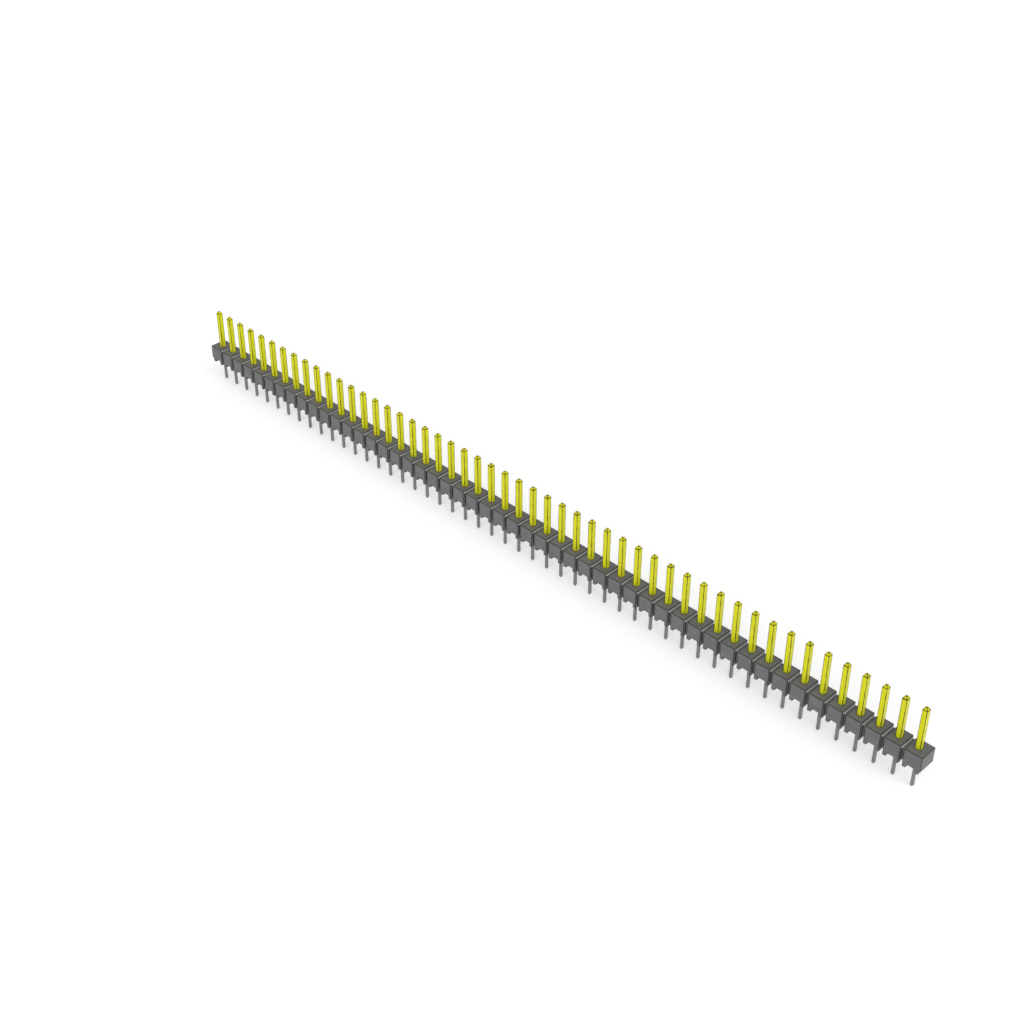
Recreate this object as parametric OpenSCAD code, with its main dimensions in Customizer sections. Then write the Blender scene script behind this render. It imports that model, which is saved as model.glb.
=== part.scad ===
// Single-row pin header strip: a moulded housing that snaps apart between its
// blocks, and one contact pressed through each block.
// X runs along the row and Z points to the mating posts. The origin is the centre
// of the seating plane, which is the board's surface. Millimetres.

/* [Row] */
// Number of contacts in the row
positions = 50; // [2:1:59]
// Distance between the axes of neighbouring contacts
pitch = 2.54; // [2.5:0.01:4]

/* [Housing] */
// Depth of the housing across the row
body_depth = 2.5; // [1.9:0.01:5]
// Height from the seating plane to the top face
body_height = 2.54; // [1.9:0.01:9]
// Height of the feet that hold the blocks off the board
standoff = 0.52; // [0.2:0.01:0.9]
// Width of each foot along the row
foot_width = 0.43; // [0.2:0.01:0.5]

/* [Snap-off notches] */
// Width of a notch between two blocks, at the surface of the housing
notch_width = 0.52; // [0.2:0.01:0.8]
// Width of the front and back notches at their floor
notch_floor = 0.24; // [0.05:0.01:0.5]
// Depth of a notch in the front face and in the back face
notch_depth = 0.26; // [0.1:0.01:0.5]
// Depth of the vee across the top face
top_vee_depth = 0.26; // [0.05:0.01:0.45]
// Depth of the vee across the underside
under_vee_depth = 0.3; // [0.05:0.01:0.45]

/* [Contacts] */
// Side of the square wire that a contact is made of
wire_side = 0.64; // [0.5:0.01:0.8]
// Length of the mating post above the housing
post_length = 5.84; // [2:0.01:20]
// Side of the flat at the very top of a post
post_flat = 0.28; // [0.1:0.01:0.45]
// Length of the four-sided taper at the top of a post
post_taper = 0.3; // [0.1:0.01:1]
// Diameter of the round solder tail
tail_diameter = 0.46; // [0.3:0.01:0.48]
// Length of the solder tail below the seating plane
tail_length = 3.18; // [1.5:0.01:6]
// Diameter of the flat at the very end of a tail
tail_flat = 0.2; // [0.1:0.01:0.25]
// Length of the cone at the end of a tail
tail_taper = 0.25; // [0.1:0.01:1]
// Play between a contact and each side of its hole
press_clearance = 0; // [0:0.005:0.02]

/* [Hidden] */

$fn = 48;
row_length = positions * pitch;
block_width = pitch - notch_width;
post_top = body_height + post_length;
// Room beyond a face, so that a cut passes right through it
beyond = 1;

function contact_x(i) = (i - (positions + 1) / 2) * pitch;
function contact_name(i) = str("pin_", i < 10 ? "0" : "", i);

// Section of a front or back notch: sloping sides and a flat floor, cut down from y = 0.
module notch_section() {
    half = notch_width / 2;
    polygon([
        [-half, beyond], [-half, 0], [-notch_floor / 2, -notch_depth],
        [notch_floor / 2, -notch_depth], [half, 0], [half, beyond]
    ]);
}

// Section of a vee across the top or the underside, cut down from y = 0.
module vee_section(depth) {
    half = notch_width / 2;
    polygon([[-half, beyond], [-half, 0], [0, -depth], [half, 0], [half, beyond]]);
}

// The housing seen from above: blocks joined by webs, with a square hole in each.
module plan_outline() {
    difference() {
        square([row_length, body_depth], center = true);
        for (i = [1 : positions - 1]) {
            translate([contact_x(i) + pitch / 2, body_depth / 2])
                notch_section();
            translate([contact_x(i) + pitch / 2, -body_depth / 2])
                mirror([0, 1])
                    notch_section();
        }
        for (i = [1 : positions])
            translate([contact_x(i), 0])
                square(wire_side + 2 * press_clearance, center = true);
    }
}

// The housing seen from the front: a vee across the top and the underside
// of each web, and a foot at each end of every block.
module front_outline() {
    difference() {
        translate([-row_length / 2, standoff])
            square([row_length, body_height - standoff]);
        for (i = [1 : positions - 1]) {
            translate([contact_x(i) + pitch / 2, body_height])
                vee_section(top_vee_depth);
            translate([contact_x(i) + pitch / 2, standoff])
                mirror([0, 1])
                    vee_section(under_vee_depth);
        }
    }
    for (i = [1 : positions])
        for (side = [-1, 1])
            translate([contact_x(i) + side * (block_width - foot_width) / 2, standoff])
                square([foot_width, 2 * standoff], center = true);
}

module housing() {
    color("#3c3c3e")
        intersection() {
            linear_extrude(height = body_height)
                plan_outline();
            translate([0, body_depth / 2, 0])
                rotate([90, 0, 0])
                    linear_extrude(height = body_depth)
                        front_outline();
        }
}

// The square wire seen from any side, with its taper at the top.
module wire_outline() {
    half = wire_side / 2;
    polygon([
        [-half, -tail_length], [half, -tail_length], [half, post_top - post_taper],
        [post_flat / 2, post_top], [-post_flat / 2, post_top], [-half, post_top - post_taper]
    ]);
}

// Half the outline that the lower end is turned to: a round tail with a coned
// end, and a cone that leads up to the square wire between the housing's feet.
module turned_outline() {
    tail_r = tail_diameter / 2;
    past_corners = wire_side;
    polygon([
        [0, -tail_length], [tail_flat / 2, -tail_length],
        [tail_r, tail_taper - tail_length], [tail_r, 0],
        [past_corners, past_corners - tail_r], [past_corners, post_top + beyond],
        [0, post_top + beyond]
    ]);
}

module contact(i) {
    color("#d9d92c")
        translate([contact_x(i), 0, 0])
            intersection() {
                rotate([90, 0, 0])
                    linear_extrude(height = wire_side, center = true)
                        wire_outline();
                rotate([90, 0, 90])
                    linear_extrude(height = wire_side, center = true)
                        wire_outline();
                rotate_extrude()
                    turned_outline();
            }
}

housing();
for (i = [1 : positions])
    contact(i);
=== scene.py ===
import math

import bpy
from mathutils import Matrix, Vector


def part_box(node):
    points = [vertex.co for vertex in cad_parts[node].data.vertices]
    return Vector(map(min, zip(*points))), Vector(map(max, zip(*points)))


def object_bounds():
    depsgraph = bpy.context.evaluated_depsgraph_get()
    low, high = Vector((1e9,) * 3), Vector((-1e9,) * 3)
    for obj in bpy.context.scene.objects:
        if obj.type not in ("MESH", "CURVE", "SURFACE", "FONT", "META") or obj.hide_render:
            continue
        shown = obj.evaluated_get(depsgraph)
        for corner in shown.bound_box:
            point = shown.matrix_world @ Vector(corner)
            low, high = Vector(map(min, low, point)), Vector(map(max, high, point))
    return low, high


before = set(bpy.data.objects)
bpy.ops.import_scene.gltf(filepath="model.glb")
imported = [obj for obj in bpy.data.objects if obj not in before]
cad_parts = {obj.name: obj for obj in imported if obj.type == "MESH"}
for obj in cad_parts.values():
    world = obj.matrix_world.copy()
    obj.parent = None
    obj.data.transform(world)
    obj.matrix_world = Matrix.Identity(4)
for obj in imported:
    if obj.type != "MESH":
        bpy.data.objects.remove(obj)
bpy.context.view_layer.update()
cad_low, cad_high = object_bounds()


# ---- Housing ----
# The bar that holds the contacts: fifty blocks joined by thin webs, moulded in one
# shot from dark grey glass-filled plastic. It is left as it comes from the tool, with
# a fine spark-eroded grain, and it snaps apart at the webs.

MM = 0.001
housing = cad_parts["housing"]
housing_low, housing_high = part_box("housing")
wire_low, wire_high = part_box("pin_01")
wire_half = (wire_high.y - wire_low.y) / 2
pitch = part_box("pin_02")[0].x - wire_low.x
notch_width = 0.52 * MM
notch_floor = 0.24 * MM
notch_depth = 0.26 * MM
vee_depth = 0.26 * MM
under_vee_depth = 0.3 * MM
feet_height = 0.52 * MM
block_half = (pitch - notch_width) / 2
block_corner = 0.025 * MM
sharpest_left = math.radians(30)
weld_distance = 0.001 * MM


class Socket:
    """An output in a shader tree. Arithmetic on it adds Math nodes to that tree."""

    def __init__(self, tree, output=None):
        self.tree = tree
        self.output = output

    def node(self, kind, settings, sockets, output=0):
        """Adds a node, with its settings first and then the value or link of each socket."""
        made = self.tree.nodes.new("ShaderNode" + kind)
        for name, value in settings.items():
            setattr(made, name, value)
        for name, value in sockets.items():
            if isinstance(value, Socket):
                self.tree.links.new(value.output, made.inputs[name])
            else:
                made.inputs[name].default_value = value
        return Socket(self.tree, made.outputs[output] if made.outputs else None)

    def maths(self, operation, *values):
        return self.node("Math", {"operation": operation}, dict(enumerate(values)))

    def least(self, other):
        return self.maths("MINIMUM", self, other)

    def most(self, other):
        return self.maths("MAXIMUM", self, other)

    def over(self, level):
        """1 where the value is greater than level, and 0 elsewhere."""
        return self.maths("GREATER_THAN", self, level)

    def __abs__(self):
        return self.maths("ABSOLUTE", self)

    def __add__(self, other):
        return self.maths("ADD", self, other)

    def __radd__(self, other):
        return self.maths("ADD", other, self)

    def __sub__(self, other):
        return self.maths("SUBTRACT", self, other)

    def __rsub__(self, other):
        return self.maths("SUBTRACT", other, self)

    def __mul__(self, other):
        return self.maths("MULTIPLY", self, other)

    def __rmul__(self, other):
        return self.maths("MULTIPLY", other, self)

    def __mod__(self, other):
        return self.maths("MODULO", self, other)


def colour(red, green, blue):
    """A colour given in 0 to 255 on the usual screen curve, as a shader takes it."""

    def linear(level):
        share = level / 255
        return share / 12.92 if share < 0.04045 else ((share + 0.055) / 1.055) ** 2.4

    return (linear(red), linear(green), linear(blue), 1)


def empty_material(name):
    """A new material, and a socket that its first nodes are added from."""
    material = bpy.data.materials.new(name)
    material.use_nodes = True
    material.node_tree.nodes.clear()
    return material, Socket(material.node_tree)


def blend(mask, from_colour, to_colour):
    """from_colour where the mask is 0 and to_colour where it is 1."""
    sockets = {0: mask, 6: from_colour, 7: to_colour}
    return mask.node("Mix", {"data_type": "RGBA"}, sockets, output=2)


def fade(value, start, end):
    """1 where the value is at start, falling smoothly to 0 at end."""
    settings = {"interpolation_type": "SMOOTHSTEP"}
    sockets = {"Value": value, "From Min": start, "From Max": end, "To Min": 1, "To Max": 0}
    return value.node("MapRange", settings, sockets)


def noise(place, size, detail=2, stretch=(1, 1, 1)):
    """Noise whose cells are about size across, in metres, times stretch along each axis."""
    per_metre = [1 / (size * factor) for factor in stretch]
    scaled = place.node("VectorMath", {"operation": "MULTIPLY"}, {0: place, 1: per_metre})
    return place.node("TexNoise", {}, {"Vector": scaled, "Scale": 1, "Detail": detail})


def along(place, axis):
    return place.node("SeparateXYZ", {}, {"Vector": place}, output=axis)


def from_contact_axis(place):
    """Distance along the row from the nearest contact's axis, with its side as a sign."""
    return (along(place, "X") - housing_low.x) % pitch - pitch / 2


def finish_surface(material, sockets):
    tree = material.node_tree
    shader = Socket(tree).node("BsdfPrincipled", {}, sockets)
    shader.node("OutputMaterial", {}, {"Surface": shader})


def moulded_plastic():
    """Dark grey moulding: fine grain, flecks of glass fibre and faint flow marks.

    Its edges are burnished. The rims of its holes, the corners inside its notches and the
    roots of its vees carry painted shade, and the walls of its vees carry a painted highlight,
    paler grey. A band is where such a mark is full and where it has gone, as distances from
    the edge. Levels are such ends in the noise.
    """
    flow_size = 0.9 * MM
    flow_levels = (0.3, 0.7)
    fibre_size = 0.05 * MM
    fibre_levels = (0.6, 0.72)
    fibre_show = 0.5
    fibre_relief = 0.4
    grain_size = 0.06 * MM
    grain_height = 0.004 * MM
    dark_resin = colour(101, 101, 103)
    pale_resin = colour(111, 111, 112)
    glass_fibre = colour(130, 130, 129)
    painted_vee_light = colour(164, 164, 167)
    burnished_edge_and_rim_shade = colour(26, 26, 27)
    painted_crease_shade = colour(20, 20, 21)
    edge_band = (0.04 * MM, 0.13 * MM)
    hole_band = (0.03 * MM, 0.12 * MM)
    crease_band = (0.03 * MM, 0.09 * MM)
    root_band = (0.02 * MM, 0.07 * MM)
    recess_band = (0, -0.03 * MM)
    vee_fade = 0.05 * MM
    vee_band = (vee_depth, vee_depth + vee_fade)
    under_vee_band = (under_vee_depth, under_vee_depth + vee_fade)
    vee_mouth = (0, 0.1 * MM)
    under_vee_mouth = (notch_depth, notch_depth + vee_fade)
    widest_stray = 0.06 * MM
    edge_and_rim_show = 0.9
    plain_roughness = 0.5
    grain_roughness = 0.16
    burnish_polish = 0.16

    material, start = empty_material("glass_filled_plastic")
    place = start.node("TexCoord", {}, {}, output="Object")
    flow = noise(place, flow_size, detail=3, stretch=(2, 1, 1))
    resin = blend(fade(flow, *flow_levels), dark_resin, pale_resin)
    fibres = 1 - fade(noise(place, fibre_size, stretch=(6, 1, 1)), *fibre_levels)
    flecked = blend(fibres * fibre_show, resin, glass_fibre)

    across = abs(from_contact_axis(place))
    through = abs(along(place, "Y"))
    last_axis = housing_high.x - pitch / 2
    at_row_end = abs(along(place, "X")).over(last_axis)
    beside = block_half - across + at_row_end * (notch_width / 2)
    ahead = housing_high.y - through
    above = housing_high.z - along(place, "Z")
    below = along(place, "Z") - (housing_low.z + feet_height)

    recessed = 1 - fade(beside, *recess_band)
    top_vee = fade(above, *vee_band) * (1 - fade(ahead, *vee_mouth))
    under_vee = fade(below, *under_vee_band) * (1 - fade(ahead, *under_vee_mouth))
    in_vee = recessed * top_vee.most(under_vee)
    # painted highlight: the walls of the vees are made paler grey, standing in for lamp light
    # that the neighbouring blocks shade off
    vee_lit = blend(in_vee, flecked, painted_vee_light)

    edge_distance = beside.least(ahead).most(beside.most(ahead).least(above))
    stray = (flow - 0.5) * widest_stray
    burnished = fade(abs(edge_distance) + stray, *edge_band)
    # painted shade round each hole's rim, at the foot of its post; the same dark colour also
    # marks the burnished edges
    hole_rim = fade(across.most(through) - wire_half, *hole_band)
    edged_and_rim_shaded = blend(burnished.most(hole_rim) * edge_and_rim_show, vee_lit, burnished_edge_and_rim_shade)

    # painted shade: the corners inside the notches and the roots of the vees are darkened
    # towards near black
    from_web = pitch / 2 - across
    notch_corner = fade(abs(from_web - notch_floor / 2), *crease_band)
    vee_root = fade(from_web, *root_band)
    crease_shade = recessed * (notch_corner + in_vee * (vee_root - notch_corner))
    crease_shaded = blend(crease_shade, edged_and_rim_shaded, painted_crease_shade)

    grain = noise(place, grain_size, detail=3)
    bump = grain.node("Bump", {}, {
        "Strength": 0.8,
        "Distance": grain_height,
        "Height": grain + fibres * fibre_relief,
    })
    finish_surface(material, {
        "Base Color": crease_shaded,
        "Roughness": plain_roughness + grain * grain_roughness - burnished * burnish_polish,
        "Normal": bump,
        "Specular IOR Level": 0.4,
    })
    return material


def dress(piece, material, corner_radius):
    """Gives a CAD node its material and takes the knife edge off its corners."""
    for slot in piece.material_slots:
        slot.link = "OBJECT"
        slot.material = material
    weld = piece.modifiers.new("join_corners", "WELD")
    weld.merge_threshold = weld_distance
    corner = piece.modifiers.new("round_corners", "BEVEL")
    corner.limit_method = "ANGLE"
    corner.angle_limit = sharpest_left
    corner.width = corner_radius
    corner.segments = 2


dress(housing, moulded_plastic(), block_corner)


# ---- Contacts ----
# One piece of square brass wire each, pressed through its block. The mating post above
# is flashed with gold over nickel and coined to a blunt point; the tail below is turned
# round and tinned for soldering.

post_top = wire_high.z
tip_half = 0.14 * MM
tip_length = 0.3 * MM
plating_change = (housing_low.z + housing_high.z) / 2
shoulder_low = housing_low.z
wire_corner = 0.03 * MM


def plated_wire():
    """Gold flash on the post, with the streaks of drawn wire, and matt tin on the tail.

    The plating is thin and dark along the post's edges and gone from its cut end. Near the
    block the post is painted brighter, a painted highlight against the shade there, and the
    wire just under the block is painted darker, a painted shade. Turning marks run round the
    tail.
    """
    dull_gold = colour(210, 210, 18)
    bright_gold = colour(230, 230, 34)
    toned_gold = colour(205, 198, 30)
    painted_base_light = colour(246, 246, 44)
    thin_gold = colour(56, 53, 5)
    cut_brass = colour(150, 143, 26)
    dark_tin = colour(122, 122, 123)
    pale_tin = colour(140, 140, 140)
    turned_tin = colour(100, 100, 100)
    shoulder_shade = colour(84, 83, 80)
    streak_size = 0.05 * MM
    turning_size = 0.03 * MM
    turning_levels = (0.3, 0.55)
    turning_show = 0.4
    grain_size = 0.08 * MM
    patch_size = 0.6 * MM
    patch_levels = (0.3, 0.6)
    patch_show = 0.35
    base_light_band = (0, 1.4 * MM)
    edge_band = (0.02 * MM, 0.1 * MM)
    rim_band = (0.02 * MM, 0.08 * MM)
    cut_band = (0.01 * MM, 0.03 * MM)
    shoulder_band = (shoulder_low, shoulder_low - 0.1 * MM)
    widest_stray = 0.1 * MM
    gold_roughness = 0.36
    tin_roughness = 0.3
    mark_roughness = 0.14
    mark_height = 0.002 * MM
    grain_relief = 0.5
    tin_metal = 0.7
    gold_metal = 0.45

    material, start = empty_material("plated_wire")
    place = start.node("TexCoord", {}, {}, output="Object")
    height = along(place, "Z")
    from_top = post_top - height
    across = abs(from_contact_axis(place))
    through = abs(along(place, "Y"))
    streaks = noise(place, streak_size, detail=3, stretch=(1, 1, 30))
    turned = noise(place, turning_size, detail=3, stretch=(30, 30, 1))
    grains = noise(place, grain_size, detail=3)
    patches = noise(place, patch_size)

    gold = blend(streaks, dull_gold, bright_gold)
    gold = blend(fade(patches, *patch_levels) * patch_show, gold, toned_gold)
    # painted highlight: the gold is brighter up to 1.4 mm above the block, offsetting the
    # shade and the dark reflection of the housing there
    gold = blend(fade(height - housing_high.z, *base_light_band), gold, painted_base_light)
    tip_slope = (wire_half - tip_half) / tip_length
    half_here = (tip_half + from_top * tip_slope).least(wire_half)
    corner_distance = (half_here - across).most(half_here - through)
    tip_start_distance = abs(from_top - tip_length)
    stray = (patches - 0.5) * widest_stray
    thinned = fade(corner_distance.least(tip_start_distance) + stray, *edge_band)
    thinned = thinned.most(fade(from_top, *rim_band))
    gold = blend(thinned, gold, thin_gold)
    gold = blend(fade(from_top, *cut_band), gold, cut_brass)

    tin = blend(grains, dark_tin, pale_tin)
    tin = blend(fade(turned, *turning_levels) * turning_show, tin, turned_tin)
    # painted shade: the tin is darker where the wire goes up under the block
    tin = blend(fade(height, *shoulder_band), tin, shoulder_shade)

    is_post = height.over(plating_change)
    rough_gold = gold_roughness + streaks * mark_roughness
    rough_tin = tin_roughness + grains * mark_roughness
    tool_marks = turned + (streaks - turned) * is_post
    bump = tool_marks.node("Bump", {}, {
        "Strength": 0.6,
        "Distance": mark_height,
        "Height": tool_marks + grains * grain_relief,
    })
    finish_surface(material, {
        "Base Color": blend(is_post, tin, gold),
        "Metallic": tin_metal + is_post * (gold_metal - tin_metal),
        "Roughness": rough_tin + (rough_gold - rough_tin) * is_post,
        "Normal": bump,
        "Specular IOR Level": 0.2,
    })
    return material


wire_finish = plated_wire()
for name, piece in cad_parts.items():
    if name.startswith("pin_"):
        dress(piece, wire_finish, wire_corner)


# ---- Floor, light and camera ----
# A plain white table that the tails just touch. One broad lamp stands low beyond the
# right-hand end, in front of the row, and a pale room fills the shadows.

floor_half = 4
floor_glow = 0.37
lamp_strength = 3.05
lamp_bearing = math.radians(-34.4)
lamp_climb = math.radians(20)
lamp_spread = math.radians(100)
room_strength = 0.33
view_angle = math.radians(35)
view_distance = 211.39 * MM
nearest_seen = 10 * MM


def light_path(start, question):
    return start.node("LightPath", {}, {}, output=question)


def seen_directly(start):
    """1 for what is seen straight, in metal or through glass, and 0 after a matt surface."""
    reflected = light_path(start, "Is Glossy Ray")
    seen_through = light_path(start, "Is Transmission Ray")
    seen = light_path(start, "Is Camera Ray").most(reflected).most(seen_through)
    return seen * (1 - light_path(start, "Diffuse Depth").least(1))


def table_top():
    """Matt white, and lifted to plain white where it is seen directly."""
    material, start = empty_material("white_table")
    white = colour(250, 250, 250)
    matt = start.node("BsdfDiffuse", {}, {"Color": white})
    glow = start.node("Emission", {}, {"Color": (1, 1, 1, 1), "Strength": floor_glow})
    lit = start.node("AddShader", {}, {0: matt, 1: glow})
    shown = start.node("MixShader", {}, {0: seen_directly(start), 1: matt, 2: lit})
    shown.node("OutputMaterial", {}, {"Surface": shown})
    return material


floor_mesh = bpy.data.meshes.new("floor")
floor_corners = [
    (x * floor_half, y * floor_half, cad_low.z)
    for x, y in [(-1, -1), (1, -1), (1, 1), (-1, 1)]
]
floor_mesh.from_pydata(floor_corners, [], [(0, 1, 2, 3)])
floor_mesh.materials.append(table_top())
floor = bpy.data.objects.new("floor", floor_mesh)
bpy.context.scene.collection.objects.link(floor)

room = bpy.data.worlds.new("pale_room")
bpy.context.scene.world = room
room.use_nodes = True
room.node_tree.nodes.clear()
room_start = Socket(room.node_tree)
room_level = room_strength + seen_directly(room_start) * (1 - room_strength)
background = room_start.node("Background", {}, {"Color": (1, 1, 1, 1), "Strength": room_level})
background.node("OutputWorld", {}, {"Surface": background})

lamp_light = bpy.data.lights.new("lamp", "SUN")
lamp_light.energy = lamp_strength
lamp_light.angle = lamp_spread
lamp = bpy.data.objects.new("lamp", lamp_light)
towards_lamp = Vector((math.cos(lamp_bearing), math.sin(lamp_bearing), math.tan(lamp_climb)))
lamp.rotation_euler = towards_lamp.to_track_quat("Z", "Y").to_euler()
bpy.context.scene.collection.objects.link(lamp)

lens = bpy.data.cameras.new("camera")
lens.angle = view_angle
lens.clip_start = nearest_seen
camera = bpy.data.objects.new("camera", lens)
towards_camera = Vector((1, -1, 1)).normalized()
camera.location = (cad_low + cad_high) / 2 + towards_camera * view_distance
camera.rotation_euler = towards_camera.to_track_quat("Z", "Y").to_euler()
bpy.context.scene.collection.objects.link(camera)
bpy.context.scene.camera = camera
bpy.context.scene.view_settings.view_transform = "Standard"


# ---- Sizes ----
# Nothing is added outside the moulding and the wires, so the box stays as it was.

bpy.context.view_layer.update()
